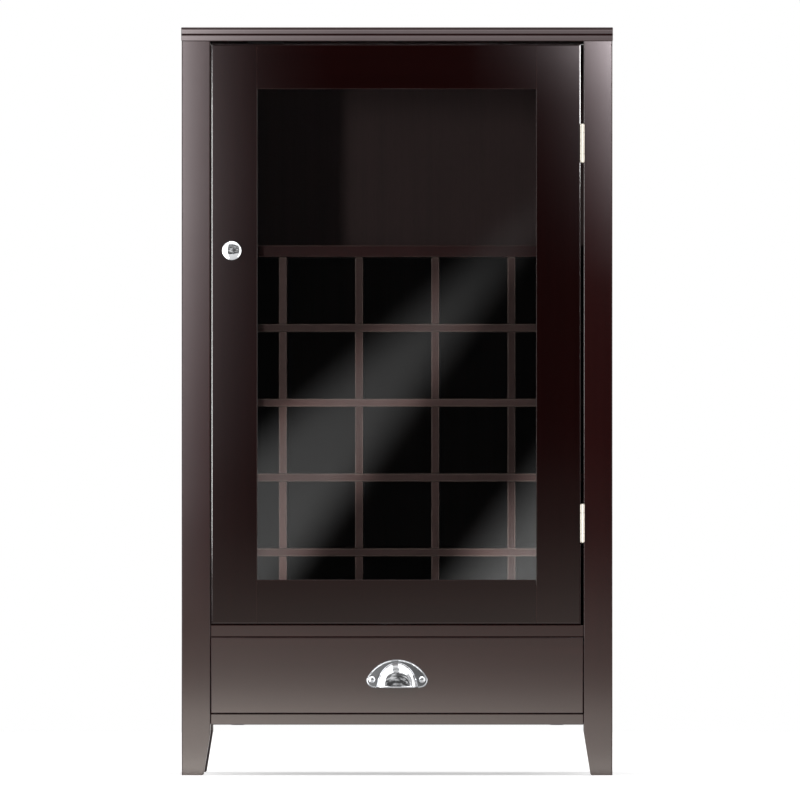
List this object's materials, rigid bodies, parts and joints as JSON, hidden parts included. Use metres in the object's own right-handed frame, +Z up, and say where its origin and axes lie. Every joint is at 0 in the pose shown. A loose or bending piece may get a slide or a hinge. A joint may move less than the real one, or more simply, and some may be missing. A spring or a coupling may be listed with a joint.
{
  "type": "wine cabinet",
  "caption": "Free-standing lacquered wine cabinet with a glazed hinged door over a bottle rack and shelf, and a drawer with a cup pull below.",
  "frame": {"origin": "centre of the box round the whole cabinet, at floor level", "axes": "+Z up, front with door and drawer towards -Y, +X to the right seen from the front"},
  "size_m": [0.5498, 0.4052, 0.9525],
  "materials": {
    "espresso_lacquer": "dark espresso stain under satin-gloss lacquer",
    "espresso_board": "dark espresso stain, satin",
    "hardboard": "thin board with a dark satin face",
    "clear_glass": "clear float glass",
    "chrome": "polished chrome plate",
    "satin_nickel": "warm satin nickel plate",
    "steel": "zinc plated steel",
    "catch_plastic": "dark moulded plastic",
    "magnet": "plain ferrite"
  },
  "bodies": {
    "cabinet": {"top_panel": "espresso_lacquer", "leg_front_left": "espresso_lacquer", "leg_front_right": "espresso_lacquer", "leg_rear_left": "espresso_lacquer", "leg_rear_right": "espresso_lacquer", "side_panel_left": "espresso_lacquer", "side_panel_right": "espresso_lacquer", "back_panel": "hardboard", "deck_panel": "espresso_lacquer", "bottom_panel": "espresso_lacquer", "upper_shelf": "espresso_board", "rack_shelf_1": "espresso_board", "rack_shelf_2": "espresso_board", "rack_shelf_3": "espresso_board", "rack_shelf_4": "espresso_board", "rack_divider_1": "espresso_board", "rack_divider_2": "espresso_board", "rack_divider_3": "espresso_board", "rack_divider_4": "espresso_board", "drawer_runner_left": "espresso_board", "drawer_runner_right": "espresso_board", "hinge_lower_frame_leaf": "satin_nickel", "hinge_upper_frame_leaf": "satin_nickel", "hinge_lower_pin": "satin_nickel", "hinge_upper_pin": "satin_nickel", "catch_body": "catch_plastic", "catch_magnet": "magnet"},
    "door": {"door_stile_left": "espresso_lacquer", "door_stile_right": "espresso_lacquer", "door_rail_top": "espresso_lacquer", "door_rail_bottom": "espresso_lacquer", "door_glass": "clear_glass", "glazing_bead_top": "espresso_lacquer", "glazing_bead_bottom": "espresso_lacquer", "glazing_bead_left": "espresso_lacquer", "glazing_bead_right": "espresso_lacquer", "door_knob": "chrome", "knob_screw": "steel", "strike_plate": "steel", "hinge_lower_door_leaf": "satin_nickel", "hinge_upper_door_leaf": "satin_nickel"},
    "drawer": {"drawer_front": "espresso_lacquer", "drawer_side_left": "espresso_board", "drawer_side_right": "espresso_board", "drawer_back": "espresso_board", "drawer_bottom": "hardboard", "drawer_pull": "chrome", "pull_screw_left": "chrome", "pull_screw_right": "chrome"}
  },
  "joints": [
    {"name": "door_hinge", "type": "hinge", "parent": "cabinet", "child": "door", "pos_m": [0.23595, -0.17975, 0.563], "axis": [0, 0, 1], "range_deg": [0, 172]},
    {"name": "drawer_slide", "type": "slide", "parent": "cabinet", "child": "drawer", "axis": [0, -1, 0], "range_m": [0, 0.24]}
  ]
}
